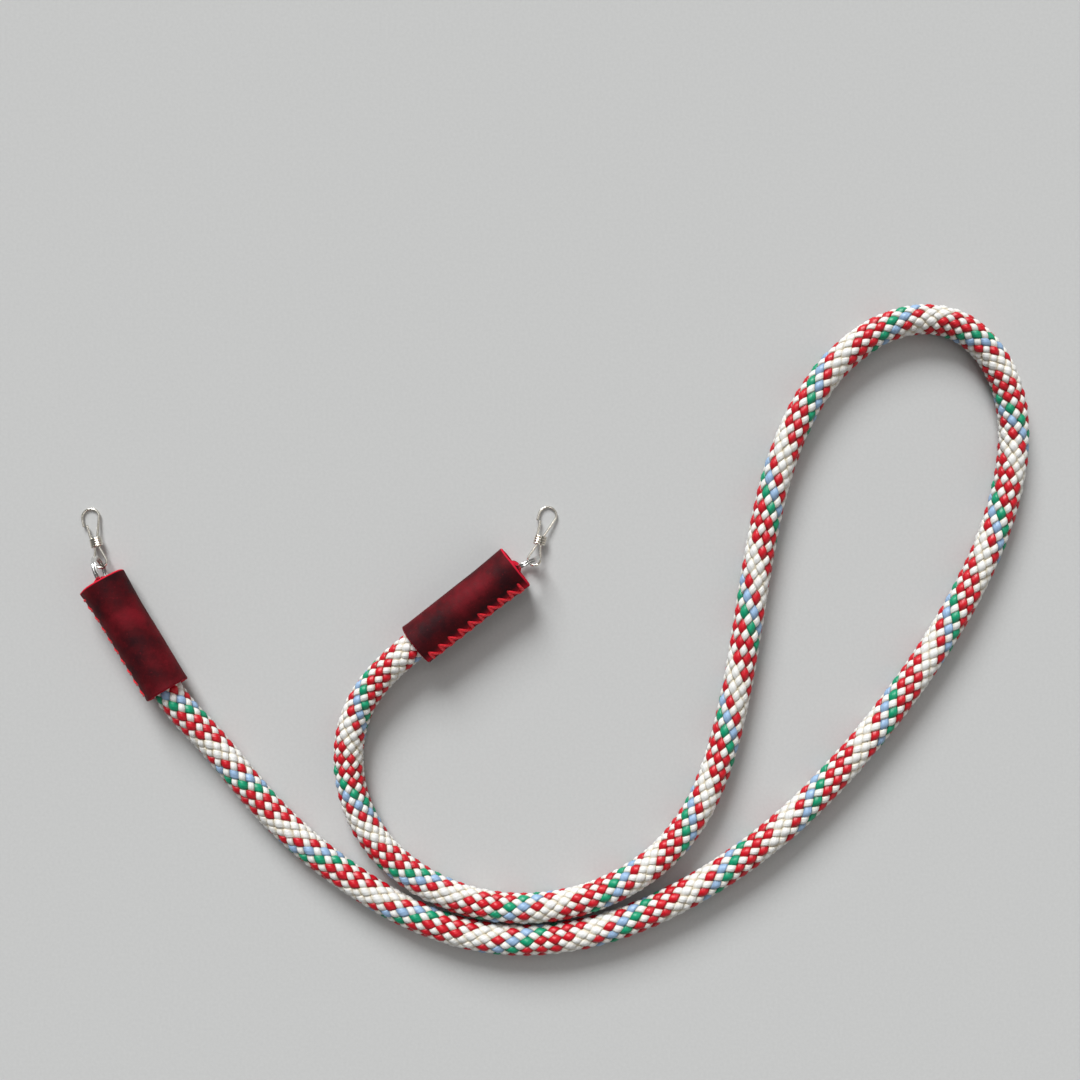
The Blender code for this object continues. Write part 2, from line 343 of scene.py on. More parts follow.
# The metals' finish: features to a metre in their wear and handling marks, the marks' relief in metres, and
# the ramps, with the roughness as shares of the metal's own
WEAR_SCALE = 300.0
HANDLING_SCALE = 1500.0
HANDLING_RELIEF = 0.000002
WEAR_TONES = ((0.35, 0.92), (0.65, 1.0))
HANDLING_ROUGHNESS = ((0.3, 0.8), (0.7, 1.25))
RING_ROUGHNESS = 0.20
HOOK_ROUGHNESS = 0.15

# The floor's speckle, and the greys of the sky by how high one looks, from the horizon at 0 to the top at 1
FLOOR_SCALE = 900.0
FLOOR_TONES = ((0.3, 0.97), (0.7, 1.02))
SKY_TONES = ((0.0, 0.56), (0.05, 0.5), (0.2, 0.25), (0.5, 0.15), (1.0, 0.12))

# The lights, each with the strength that its setting of the same name gives: the direction that it comes
# from, its spread in degrees and its colour
LIGHTS = {
    "key": ((-0.58, 1.68, 1.15), 26, (0.97, 0.99, 1.0)),
    "upper": ((-0.18, 0.83, 1.50), 36, (1.0, 1.0, 1.0)),
    "fill": ((0.87, -0.47, 0.80), 60, (1.0, 0.96, 0.90)),
    "glint": ((0.0, 0.0, 2.0), 9, (1.0, 1.0, 1.0)),
}

# The Mix node's sockets for colours
MIX_FACTOR, MIX_FIRST, MIX_SECOND, MIX_RESULT = 0, 6, 7, 2


def add_node(tree, kind, inputs=None, **settings):
    """A new shader node. An input is a value, or the output of another node."""
    made = tree.nodes.new(kind)
    for name, value in settings.items():
        setattr(made, name, value)
    for name, value in (inputs or {}).items():
        if isinstance(value, bpy.types.NodeSocket):
            tree.links.new(value, made.inputs[name])
        else:
            made.inputs[name].default_value = value
    return made


def new_finish(name, sockets):
    """A material with a Principled shader, its plain values set on the shader's own sockets."""
    material = bpy.data.materials.new(name)
    material.use_nodes = True
    tree = material.node_tree
    shader = tree.nodes["Principled BSDF"]
    for socket, value in sockets.items():
        shader.inputs[socket].default_value = value
    return material, tree, shader


def ramp(tree, factor, stops):
    """A colour ramp. Each stop is its place and its colour or grey."""
    made = add_node(tree, "ShaderNodeValToRGB", {"Fac": factor})
    elements = made.color_ramp.elements
    while len(elements) < len(stops):
        elements.new(0.5)
    for element, (place, color) in zip(elements, stops):
        element.position = place
        if isinstance(color, (int, float)):
            color = (color,) * 3
        element.color = (*color[:3], 1.0)
    return made.outputs["Color"]


def shade(color, amount):
    """A colour made darker, or lighter with an amount over 1."""
    return tuple(min(1.0, part * amount) for part in color[:3])


def tones(tree, factor, color, stops):
    """A ramp through shades of one colour. Each stop is its place and how much of the colour it has."""
    return ramp(tree, factor, [(place, shade(color, amount)) for place, amount in stops])


def blend_colors(tree, factor, first, second, mode="MIX"):
    """Two colours mixed by a factor. Each of the three is a value, or the output of another node."""
    made = add_node(tree, "ShaderNodeMix", data_type="RGBA", blend_type=mode)
    for index, value in ((MIX_FACTOR, factor), (MIX_FIRST, first), (MIX_SECOND, second)):
        socket = made.inputs[index]
        if isinstance(value, bpy.types.NodeSocket):
            tree.links.new(value, socket)
        else:
            socket.default_value = value if isinstance(value, (int, float)) else (*value[:3], 1.0)
    return made.outputs[MIX_RESULT]


def calculate(tree, operation, *values):
    """A sum on one to three values, or outputs of other nodes."""
    return add_node(tree, "ShaderNodeMath", dict(enumerate(values)), operation=operation).outputs[0]


def speckle(tree, vector, scale, detail=2.0, roughness=0.5):
    """Soft noise, with about scale features to a unit."""
    inputs = {"Vector": vector, "Scale": scale, "Detail": detail, "Roughness": roughness}
    return add_node(tree, "ShaderNodeTexNoise", inputs).outputs["Fac"]


def stretched(tree, vector, scale):
    """A place with each of its directions scaled by its own amount."""
    return add_node(tree, "ShaderNodeMapping", {"Vector": vector, "Scale": scale}).outputs["Vector"]


def relief(tree, shader, layers):
    """Bump on a shader. Each layer is a height and the metres it stands for."""
    normal = None
    for height, distance in layers:
        inputs = {"Height": height, "Distance": distance, "Strength": 1.0}
        if normal:
            inputs["Normal"] = normal
        normal = add_node(tree, "ShaderNodeBump", inputs).outputs["Normal"]
    tree.links.new(normal, shader.inputs["Normal"])


class Surface:
    """Vertices and faces gathered for one piece, with a place on a strip of material for each corner."""

    def __init__(self):
        """Starts with no vertices and no faces."""
        self.vertices = []
        self.faces = []
        self.places = []
        self.finishes = []
        self.marks = []

    def add(self, vertices, faces, places, finish=0, marks=None):
        """Adds a block of mesh. finish is its material's number, or a list with one for each face.

        marks has a number for each vertex, which the material reads: raw leather, or depth in the braid for
        painted shade.
        """
        start = sum(len(block) for block in self.vertices)
        self.vertices.append(np.asarray(vertices, float))
        self.faces += [[start + corner for corner in face] for face in faces]
        self.places += places
        self.finishes += finish if isinstance(finish, list) else [finish] * len(faces)
        self.marks.append(np.zeros(len(vertices)) if marks is None else np.asarray(marks, float))

    def build(self, name, materials):
        """Makes the piece, which rides on the strap's one body and takes its finish from a slot."""
        mesh = bpy.data.meshes.new(name)
        mesh.from_pydata(np.concatenate(self.vertices).tolist(), [], self.faces)
        strip = mesh.uv_layers.new(name="strip")
        strip.uv.foreach_set("vector", np.array(self.places, np.float32).ravel())
        mark = mesh.attributes.new("mark", "FLOAT", "POINT")
        mark.data.foreach_set("value", np.concatenate(self.marks).astype(np.float32))
        for material in materials:
            mesh.materials.append(material)
        mesh.polygons.foreach_set("material_index", np.array(self.finishes, np.int32))
        mesh.shade_smooth()
        mesh.update()
        piece = bpy.data.objects.new(name, mesh)
        bpy.context.scene.collection.objects.link(piece)
        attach(piece, BODY)
        return piece


def lattice(rows, columns, row_places, column_places, close_rows=False):
    """Quads and their places over rows of points that close round on themselves."""
    faces, places = [], []
    last = rows if close_rows else rows - 1
    for i in range(last):
        here, below = i * columns, (i + 1) % rows * columns
        for j in range(columns):
            right = (j + 1) % columns
            faces.append((here + j, here + right, below + right, below + j))
            u, v = column_places[j], row_places[i]
            next_u, next_v = column_places[j + 1], row_places[i + 1]
            places += [(u, v), (next_u, v), (next_u, next_v), (u, next_v)]
    return faces, places


def close_ends(faces, places, rows, columns, end_places, reverse=False):
    """Adds a face over a lattice's first row and one over its last, each at its place along the strip."""
    for row, place in zip((0, rows - 1), end_places):
        corners = [row * columns + k for k in range(columns)]
        faces.append(corners if (row == 0) == reverse else corners[::-1])
        places += [(0.5, place)] * columns


def tube(surface, path, radii, sides):
    """A round tube along a path of points, with its own radius at each, closed at both ends."""
    points = [Vector(point) for point in path]
    count = len(points)
    tangents = []
    for i in range(count):
        before, after = points[max(i - 1, 0)], points[min(i + 1, count - 1)]
        tangents.append((after - before).normalized())
    across = tangents[0].orthogonal().normalized()
    vertices, lengths = [], [0.0]
    for i in range(count):
        if i:
            across = (across - tangents[i] * across.dot(tangents[i])).normalized()
            lengths.append(lengths[-1] + (points[i] - points[i - 1]).length)
        up = tangents[i].cross(across)
        for k in range(sides):
            turn = math.tau * k / sides
            vertices.append(points[i] + (across * math.cos(turn) + up * math.sin(turn)) * radii[i])
    shares = [k / sides for k in range(sides + 1)]
    faces, places = lattice(count, sides, lengths, shares)
    close_ends(faces, places, count, sides, (lengths[0], lengths[-1]))
    surface.add(vertices, faces, places)


def rounded_tips(lengths, total, radius):
    """Radii along a wire whose two ends are rounded off."""
    radii = []
    for length in lengths:
        near = min(length, total - length, radius)
        radii.append(radius * math.sqrt(max(TIP_SHARE, 1 - (1 - near / radius) ** 2)))
    return radii


def arc(middle, radius, start, stop, steps):
    """Points on an arc in a plane, both of its ends among them."""
    return [
        (middle[0] + radius * math.cos(turn), middle[1] + radius * math.sin(turn))
        for turn in np.linspace(start, stop, steps + 1)
    ]


def strip_section(thickness, width, corner, steps):
    """Points round a strip's section with rounded corners: (across its thickness, across its width)."""
    a, b = thickness / 2 - corner, width / 2 - corner
    points = []
    for quarter, middle in enumerate(((a, b), (-a, b), (-a, -b), (a, -b))):
        points += arc(middle, corner, math.pi / 2 * quarter, math.pi / 2 * (quarter + 1), steps)
    return points


def distances(points):
    """How far along a path of points each of them lies, and the first one at 0."""
    return np.concatenate([[0.0], np.cumsum(np.linalg.norm(np.diff(points, axis=0), axis=1))])


def natural_spline(knots, values):
    """Reads a natural cubic spline through values at knots, straight on beyond both ends."""
    knots, values = np.asarray(knots, float), np.asarray(values, float)
    spans = np.diff(knots)
    slopes = np.diff(values, axis=0) / (spans[:, None] if values.ndim > 1 else spans)
    system, right = np.eye(len(knots)), np.zeros_like(values)
    for i in range(1, len(knots) - 1):
        system[i, i - 1 : i + 2] = spans[i - 1], 2 * (spans[i - 1] + spans[i]), spans[i]
        right[i] = 6 * (slopes[i] - slopes[i - 1])
    bends = np.linalg.solve(system, right)
    first = slopes[0] - bends[1] * spans[0] / 6
    final = slopes[-1] + bends[-2] * spans[-1] / 6

    def read(at):
        """The spline's values at an array of places."""
        at = np.asarray(at, float)
        inside = np.clip(at, knots[0], knots[-1])
        i = np.clip(np.searchsorted(knots, inside, side="right") - 1, 0, len(spans) - 1)
        shape = (-1,) + (1,) * (values.ndim - 1)
        span = spans[i].reshape(shape)
        near = ((knots[i + 1] - inside) / spans[i]).reshape(shape)
        far = 1 - near
        curved = (near**3 - near) * bends[i] + (far**3 - far) * bends[i + 1]
        found = near * values[i] + far * values[i + 1] + curved * span**2 / 6
        beyond = (at - inside).reshape(shape)
        return found + beyond.clip(max=0) * first + beyond.clip(min=0) * final

    return read


class RopeLine:
    """The rope's centreline, read by the length along it."""

    def __init__(self):
        """Draws a smooth curve through the route, never lower than the rope can lie, and measures it."""
        resting = ROPE_DIAMETER / 2
        points = np.array([(x, y, resting + rise * (AXIS_HEIGHT - resting)) for x, y, rise in ROUTE])
        knots = distances(points)
        self.fine = natural_spline(knots, points)(np.linspace(0, knots[-1], LINE_POINTS))
        self.fine[:, 2] = np.maximum(self.fine[:, 2], resting)
        self.lengths = distances(self.fine)
        self.length = float(self.lengths[-1])

    def at(self, lengths):
        """The points at lengths from the rope's end in the left sleeve."""
        return np.stack([np.interp(lengths, self.lengths, self.fine[:, k]) for k in range(3)], axis=1)

    def axes(self, lengths):
        """Unit vectors to the rope's right and up, as seen going along it."""
        step = 0.0015
        after, before = (np.clip(lengths + shift, 0, self.length) for shift in (step, -step))
        along = self.at(after) - self.at(before)
        along /= np.linalg.norm(along, axis=1)[:, None]
        right = np.cross(along, (0.0, 0.0, 1.0))
        right /= np.linalg.norm(right, axis=1)[:, None]
        return right, np.cross(right, along)


def end_matrix(side):
    """The frame of a sleeve's mouth: its origin on the floor under the mouth's middle, X out of it."""
    tip, inward = (ROUTE[0], ROUTE[2]) if side == "left" else (ROUTE[-1], ROUTE[-3])
    out = Vector((tip[0] - inward[0], tip[1] - inward[1], 0)).normalized()
    origin = Vector((tip[0], tip[1], 0)) + out * ROPE_END_DEPTH
    return Matrix.Translation(origin) @ Matrix.Rotation(math.atan2(out.y, out.x), 4, "Z")


def strand_finish(name, color, painted_shade_color, settings):
    """Satin yarns that run along a flat braided strand, with painted shade deepening its colour where it
    tucks under.
    """
    material, tree, shader = new_finish(name, {"Specular IOR Level": settings.luster})
    place = add_node(tree, "ShaderNodeUVMap", uv_map="strip").outputs["UV"]
    fibres = speckle(tree, stretched(tree, place, FIBRE_STRETCH), 1.0, detail=2.0, roughness=0.6)
    patches = speckle(tree, stretched(tree, place, PATCH_STRETCH), 1.0, detail=1.0)
    across = add_node(tree, "ShaderNodeSeparateXYZ", {"Vector": place}).outputs["X"]
    wander = calculate(tree, "MULTIPLY", patches, YARN_WANDER)
    turned = calculate(tree, "MULTIPLY_ADD", across, math.pi * settings.yarns / CROWN_SHARE, wander)
    yarns = calculate(tree, "ABSOLUTE", calculate(tree, "SINE", turned))
    toned = tones(tree, fibres, color, FIBRE_TONES)
    toned = blend_colors(tree, 1.0, toned, ramp(tree, patches, PATCH_TONES), "MULTIPLY")
    # Painted shade: darker in the grooves between the yarns
    toned = blend_colors(tree, 1.0, toned, ramp(tree, yarns, YARN_PAINTED_SHADE), "MULTIPLY")
    depth = add_node(tree, "ShaderNodeAttribute", attribute_name="mark").outputs["Fac"]
    # Painted shade: the colour deepens where the strand dives under the others
    toned = blend_colors(tree, ramp(tree, depth, PAINTED_SHADE_DEPTHS), toned, painted_shade_color)
    tree.links.new(toned, shader.inputs["Base Color"])
    tree.links.new(ramp(tree, fibres, FIBRE_ROUGHNESS), shader.inputs["Roughness"])
    relief(tree, shader, ((yarns, settings.yarn_relief), (fibres, settings.fibre_relief)))
    return material


def braid_strand(surface, line, lay, settings, number, way):
    """One strand of the braid, its flat oval section carried over and under the strands of the other way.

    lay reads the lay of the braid: its turns, and its columns of coloured crossings.
    way is 1 for the strands that turn left as they go along the rope and -1 for the others.
    """
    turns, columns = lay
    lengths = line.lengths
    travelled = lengths - ROPE_HIDDEN
    coloured = turns(travelled)
    plain = coloured + columns(travelled) / 180
    crossings = STRANDS_EACH_WAY * (coloured + plain) / 2
    first, final = crossings[0], crossings[-1]
    steps = settings.wave_steps
    stations = np.arange(math.ceil(first * steps), math.floor(final * steps) + 1)
    wave = np.concatenate([[first], stations / steps, [final]])
    at = np.interp(wave, crossings, lengths)
    centre, (right, up) = line.at(at), line.axes(at)
    own_turns = np.interp(wave, crossings, coloured if way > 0 else plain)

    random = np.random.default_rng(SEED_STEP * number + WAY_SEEDS[way])
    beats = np.arange(math.floor(first) - 1, math.ceil(final) + 2)
    plump, wide, sway = (
        np.interp(wave, beats, random.normal(0, size, len(beats)))
        for size in (settings.unevenness, settings.unevenness / 2, SWAY)
    )

    sides = settings.strand_sides
    crown = np.linspace(0, math.pi, sides - len(UNDERSIDE_TURNS))
    angles = np.concatenate([crown, math.pi * np.array(UNDERSIDE_TURNS)])
    rise = np.sin(angles)
    fill = settings.fill + way * settings.fuller
    half = fill / 2 * (1 + wide[:, None]) * np.cos(angles)
    turn = math.tau * ((number + sway[:, None] + half) / STRANDS_EACH_WAY - way * own_turns[:, None])
    over = way * np.cos(math.tau * wave[:, None] - way * math.pi * half)
    over = (1 - WAVE_ROUNDING) * over + WAVE_ROUNDING * np.sin(math.pi / 2 * over)
    plumpness = np.where(rise > 0, 1 + PLUMPER_OVER * over + plump[:, None], UNDERSIDE_THICKNESS)
    outside = ROPE_DIAMETER / 2
    base = outside - settings.crimp - (1 + PLUMPER_OVER) * settings.thickness + (way - 1) * settings.lift
    radius = base + settings.crimp * over + settings.thickness * plumpness * rise
    radius = np.minimum(radius, outside + PROUD)
    # How deep each point lies below the braid's surface, which the strands' finish turns into painted shade
    depth = np.clip((outside - radius) / (2 * settings.crimp + settings.thickness), 0, 1)
    offset = radius[..., None] * (
        np.cos(turn)[..., None] * up[:, None, :] + np.sin(turn)[..., None] * right[:, None, :]
    )
    vertices = (centre[:, None, :] + offset).reshape(-1, 3)
    vertices[:, 2] = vertices[:, 2].clip(min=SURFACE_GAP)

    rows = len(wave)
    row_places = (wave + STRIP_STEP * number + WAY_STRIPS[way]).tolist()
    outline = np.stack([FLATNESS * np.cos(angles), rise], axis=1)
    chords = np.linalg.norm(np.roll(outline, -1, axis=0) - outline, axis=1)
    column_places = [0.0, *(np.cumsum(chords) / chords.sum()).tolist()]
    faces, places = lattice(rows, sides, row_places, column_places)
    close_ends(faces, places, rows, sides, (row_places[0], row_places[-1]), reverse=True)
    surface.add(vertices, faces, places, marks=depth.ravel())


def strand_groups():
    """The braid's pieces: for each its colour, and the number and the way of each of its strands."""
    half = STRANDS_EACH_WAY // 2
    groups = {
        "ivory_strands_a": ("ivory", [(number, -1) for number in range(half)]),
        "ivory_strands_b": ("ivory", [(number, -1) for number in range(half, 2 * half)]),
    }
    for number, color in enumerate(COLOURED_STRANDS):
        name = "ivory_strands_c" if color == "ivory" else f"{color}_strands"
        groups.setdefault(name, (color, []))[1].append((number, 1))
    return groups


class StrapRopeSettings(bpy.types.PropertyGroup):
    """Sizes and colours of the braided rope"""

    thickness: bpy.props.FloatProperty(
        name="Strand thickness",
        description="How high the crown of a strand stands above its edges",
        default=0.00070,
        unit="LENGTH",
        precision=5,
    )
    crimp: bpy.props.FloatProperty(
        name="Crimp",
        description="How far a strand rises over the others and dives under them",
        default=0.00056,
        unit="LENGTH",
        precision=5,
    )
    fill: bpy.props.FloatProperty(
        name="Strand fill",
        description="Share of the space between its neighbours that a strand fills",
        default=0.98,
        subtype="FACTOR",
    )
    fuller: bpy.props.FloatProperty(
        name="Fuller way",
        description="How much more of its space a strand of the coloured way fills, and the others less",
        default=0.12,
        subtype="FACTOR",
    )
    lift: bpy.props.FloatProperty(
        name="Lift",
        description="Half of how much higher the coloured way's strands ride than the plain way's",
        default=0.00005,
        unit="LENGTH",
        precision=5,
    )
    unevenness: bpy.props.FloatProperty(
        name="Unevenness",
        description="How much one crossing's plumpness differs from the next",
        default=0.08,
        subtype="FACTOR",
    )
    wave_steps: bpy.props.IntProperty(
        name="Steps in a wave",
        description="Sections along a strand from one crossing over to the next",
        default=12,
    )
    strand_sides: bpy.props.IntProperty(
        name="Strand sides",
        description="Points round a strand's section",
        default=10,
    )
    fibre_relief: bpy.props.FloatProperty(
        name="Fibre relief",
        description="Height of the filaments in a strand",
        default=0.000028,
        unit="LENGTH",
        precision=6,
    )
    yarns: bpy.props.IntProperty(
        name="Yarns in a strand",
        description="Number of yarns that lie side by side in one strand",
        default=4,
    )
    yarn_relief: bpy.props.FloatProperty(
        name="Yarn relief",
        description="How far a yarn stands above the grooves beside it",
        default=0.00004,
        unit="LENGTH",
        precision=6,
    )
    luster: bpy.props.FloatProperty(
        name="Luster",
        description="How brightly the filaments shine",
        default=0.5,
        subtype="FACTOR",
    )
    ivory: bpy.props.FloatVectorProperty(
        name="Ivory",
        description="Colour of the plain strands",
        default=(0.80, 0.795, 0.772),
        subtype="COLOR",
    )
    # Painted shade: the colour that the plain strands are darkened to where they tuck under the others
    ivory_painted_shade: bpy.props.FloatVectorProperty(
        name="Ivory, tucked",
        description="Colour of the plain strands where they tuck under the others",
        default=(0.62, 0.55, 0.42),
        subtype="COLOR",
    )
    red: bpy.props.FloatVectorProperty(
        name="Red",
        description="Colour of four of the coloured strands",
        default=(0.60, 0.001, 0.012),
        subtype="COLOR",
    )
    green: bpy.props.FloatVectorProperty(
        name="Green",
        description="Colour of one of the coloured strands",
        default=(0.0, 0.31, 0.15),
        subtype="COLOR",
    )
    blue: bpy.props.FloatVectorProperty(
        name="Lavender blue",
        description="Colour of one of the coloured strands",
        default=(0.30, 0.455, 0.67),
        subtype="COLOR",
    )


class StrapSleeveSettings(bpy.types.PropertyGroup):
    """Colours of the leather, and sizes of its stitches"""

    leather_dark: bpy.props.FloatVectorProperty(
        name="Dark leather",
        description="Colour of the leather's burnished patches",
        default=(0.024, 0.0022, 0.0042),
        subtype="COLOR",
    )
    leather_light: bpy.props.FloatVectorProperty(
        name="Light leather",
        description="Colour of the leather's lighter patches",
        default=(0.150, 0.005, 0.0105),
        subtype="COLOR",
    )
    raw_edge: bpy.props.FloatVectorProperty(
        name="Raw edge",
        description="Colour of the leather's cut edges",
        default=(0.62, 0.012, 0.035),
        subtype="COLOR",
    )
    thread: bpy.props.FloatVectorProperty(
        name="Thread",
        description="Colour of the waxed thread",
        default=(0.76, 0.016, 0.030),
        subtype="COLOR",
    )
    thread_thickness: bpy.props.FloatProperty(
        name="Thread thickness",
        description="Thickness of the waxed thread",
        default=0.00130,
        unit="LENGTH",
        precision=5,
    )
    stitches: bpy.props.IntProperty(
        name="Stitches",
        description="Number of stitch holes on each side of the seam",
        default=10,
    )
    stitch_width: bpy.props.FloatProperty(
        name="Stitch width",
        description="Distance round the sleeve between the two rows of holes",
        default=0.0060,
        unit="LENGTH",
        precision=4,
    )
    sides: bpy.props.IntProperty(
        name="Sleeve sides",
        description="Points round a sleeve, closer together near its seam",
        default=144,
    )


class StrapMetalSettings(bpy.types.PropertyGroup):
    """Colours of the rings and hooks, and how finely they are drawn"""

    nickel: bpy.props.FloatVectorProperty(
        name="Nickel",
        description="Colour of the split rings",
        default=(0.78, 0.77, 0.75),
        subtype="COLOR",
    )
    wire: bpy.props.FloatVectorProperty(
        name="Wire",
        description="Colour of the hooks' wire",
        default=(0.80, 0.76, 0.68),
        subtype="COLOR",
    )
    ring_steps: bpy.props.IntProperty(
        name="Ring steps",
        description="Sections in each turn of a split ring",
        default=80,
    )
    wire_sides: bpy.props.IntProperty(
        name="Wire sides",
        description="Points round the hooks' wire",
        default=14,
    )


class StrapStageSettings(bpy.types.PropertyGroup):
    """Place of the camera, look of the floor, and strengths of the lights"""

    camera_place: bpy.props.FloatVectorProperty(
        name="Camera place",
        description="Where the camera stands, looking straight down",
        default=(0.08235, 0.02335, 0.534),
        subtype="TRANSLATION",
        unit="LENGTH",
    )
    view_width: bpy.props.FloatProperty(
        name="View width",
        description="Width of the floor that the camera takes in",
        default=0.4036,
        unit="LENGTH",
    )
    floor_color: bpy.props.FloatVectorProperty(
        name="Floor",
        description="Colour of the floor",
        default=(0.54, 0.54, 0.535),
        subtype="COLOR",
    )
    floor_size: bpy.props.FloatProperty(
        name="Floor size",
        description="Side of the square floor",
        default=40.0,
        unit="LENGTH",
    )
    key: bpy.props.FloatProperty(
        name="Key light",
        description="Light from low beyond the top of the view, in watts on a square metre that faces it",
        default=3.95,
    )
    upper: bpy.props.FloatProperty(
        name="Upper light",
        description="Light from high beyond the top of the view",
        default=0.45,
    )
    fill: bpy.props.FloatProperty(
        name="Fill light",
        description="Light from the lower right",
        default=0.42,
    )
    glint: bpy.props.FloatProperty(
        name="Glint light",
        description="Narrow light from straight above, for the metal",
        default=0.1,
    )
    sky: bpy.props.FloatProperty(
        name="Sky",
        description="Strength of the even light from all round, which is palest along the horizon",
        default=1.0,
    )


def add_light(name, direction, spread, strength, color):
    """Even light over the whole floor, from a direction, as soft as its spread in degrees."""
    data = bpy.data.lights.new(name, "SUN")
    data.energy = strength
    data.angle = math.radians(spread)
    data.color = color
    light = bpy.data.objects.new(name, data)
    light.location = direction
    light.rotation_euler = Vector(direction).to_track_quat("Z", "Y").to_euler()
    bpy.context.scene.collection.objects.link(light)


def add_sky(strength):
    """Even light from all round: as pale as the floor at the horizon, and darker towards the top."""
    world = bpy.data.worlds.new("studio")
    world.use_nodes = True
    tree = world.node_tree
    place = add_node(tree, "ShaderNodeTexCoord").outputs["Generated"]
    height = add_node(tree, "ShaderNodeSeparateXYZ", {"Vector": place}).outputs["Z"]
    background = tree.nodes["Background"]
    tree.links.new(ramp(tree, height, SKY_TONES), background.inputs["Color"])
    background.inputs["Strength"].default_value = strength
    bpy.context.scene.world = world


class StrapStage(bpy.types.Operator):
    """Add the camera, the pale floor and the studio lights"""

    bl_idname = "strap.stage"
    bl_label = "Stage"

    def execute(self, context):
        settings = context.scene.strap_stage
        scene = context.scene
        camera_data = bpy.data.cameras.new("camera")
        camera_data.sensor_fit = "HORIZONTAL"
        camera_data.angle = 2 * math.atan(settings.view_width / 2 / settings.camera_place[2])
        camera_data.clip_start = 0.01
        camera = bpy.data.objects.new("camera", camera_data)
        camera.location = settings.camera_place
        scene.collection.objects.link(camera)
        scene.camera = camera

        half = settings.floor_size / 2
        corners = [(-half, -half, 0), (half, -half, 0), (half, half, 0), (-half, half, 0)]
        mesh = bpy.data.meshes.new("floor")
        mesh.from_pydata(corners, [], [(0, 1, 2, 3)])
        floor = bpy.data.objects.new("floor", mesh)
        material, tree, shader = new_finish("pale floor", {"Roughness": 0.9, "Specular IOR Level": 0.0})
        place = add_node(tree, "ShaderNodeTexCoord").outputs["Object"]
        tone = speckle(tree, place, FLOOR_SCALE, detail=3.0)
        color = tones(tree, tone, settings.floor_color, FLOOR_TONES)
        tree.links.new(color, shader.inputs["Base Color"])
        mesh.materials.append(material)
        scene.collection.objects.link(floor)

        for name, (direction, spread, color) in LIGHTS.items():
            add_light(name, direction, spread, getattr(settings, name), color)
        add_sky(settings.sky)
        scene.view_settings.view_transform = "Standard"
        return {"FINISHED"}


class StrapRope(bpy.types.Operator):
    """Braid the rope: eight strands each way round a plain core"""

    bl_idname = "strap.rope"
    bl_label = "Braided rope"

    def execute(self, context):
        settings = context.scene.strap_rope
        line = RopeLine()
        at, turns, columns = zip(*BRAID_LAY)
        lay = (natural_spline(at, turns), natural_spline(at, columns))
        finishes = {}
        for name in ("ivory", "red", "green", "blue"):
            color = tuple(getattr(settings, name))
            # The colour of the painted shade where a strand tucks under the others
            painted_shade_color = settings.ivory_painted_shade if name == "ivory" else shade(color, PAINTED_SHADE_AMOUNT)
            finishes[name] = strand_finish(f"{name} strand", color, painted_shade_color, settings)
        for name, (color, strands) in strand_groups().items():
            surface = Surface()
            for number, way in strands:
                braid_strand(surface, line, lay, settings, number, way)
            surface.build(name, [finishes[color]])

        core = Surface()
        path = line.at(np.linspace(CORE_INSET, line.length - CORE_INSET, PATH_POINTS))
        tube(core, path, [CORE_RADIUS] * PATH_POINTS, CORE_SIDES)
        core.build("rope_core", [finishes["ivory"]])

        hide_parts("rope")
        return {"FINISHED"}


def leather_finish(settings):
    """Waxed pull-up leather: dark burnish over red patches, fine grain, and bright cut edges."""
    material, tree, shader = new_finish("sleeve leather", {"Specular IOR Level": 0.12})
    place = add_node(tree, "ShaderNodeTexCoord").outputs["Object"]
    clouds = speckle(tree, place, CLOUD_SCALE, detail=3.0)
    mottle = speckle(tree, place, MOTTLE_SCALE, detail=4.0, roughness=0.65)
    mixed = blend_colors(tree, MOTTLE_SHARE, clouds, mottle)
    light = tuple(settings.leather_light)
    stops = (
        (DARK_UNTIL, tuple(settings.leather_dark)),
        (MIDDLE_AT, shade(light, MIDDLE_SHADE)),
        (LIGHT_FROM, light),
    )
    scuffs = ramp(tree, speckle(tree, place, SCUFF_SCALE, detail=3.0), SCUFFS)
    color = blend_colors(tree, scuffs, ramp(tree, mixed, stops), shade(light, SCUFF_SHADE))
    raw = add_node(tree, "ShaderNodeAttribute", attribute_name="mark").outputs["Fac"]
    fibres = speckle(tree, place, CUT_SCALE, detail=3.0, roughness=0.7)
    cut = tones(tree, fibres, settings.raw_edge, CUT_TONES)
    tree.links.new(blend_colors(tree, raw, color, cut), shader.inputs["Base Color"])
    gloss = blend_colors(tree, raw, ramp(tree, mottle, LEATHER_ROUGHNESS), (CUT_ROUGHNESS,) * 3)
    tree.links.new(gloss, shader.inputs["Roughness"])
    cells = {"Vector": place, "Scale": GRAIN_SCALE}
    grain = add_node(tree, "ShaderNodeTexVoronoi", cells, feature="SMOOTH_F1").outputs["Distance"]
    relief(tree, shader, ((grain, GRAIN_RELIEF), (mottle, MOTTLE_RELIEF), (fibres, CUT_RELIEF)))
    return material


def flesh_finish(settings):
    """The leather's fibrous inner side."""
    sockets = {"Roughness": 0.95, "Specular IOR Level": 0.1}
    material, tree, shader = new_finish("leather inner side", sockets)
    place = add_node(tree, "ShaderNodeTexCoord").outputs["Object"]
    nap = speckle(tree, place, NAP_SCALE, detail=4.0, roughness=0.7)
    tree.links.new(tones(tree, nap, settings.leather_light, NAP_TONES), shader.inputs["Base Color"])
    relief(tree, shader, ((nap, NAP_RELIEF),))
    return material


def bell(distance, width, power=2):
    """1 at no distance, falling smoothly to nothing beyond about twice the width."""
    return math.exp(-((distance / width) ** power))


def sleeve_radius(x):
    """The sleeve's outer radius, x from its mouth."""
    return SLEEVE_RADIUS + np.interp(1 + x / SLEEVE_LENGTH, SLEEVE_ALONG, SLEEVE_FLARES) * SLEEVE_FLARE


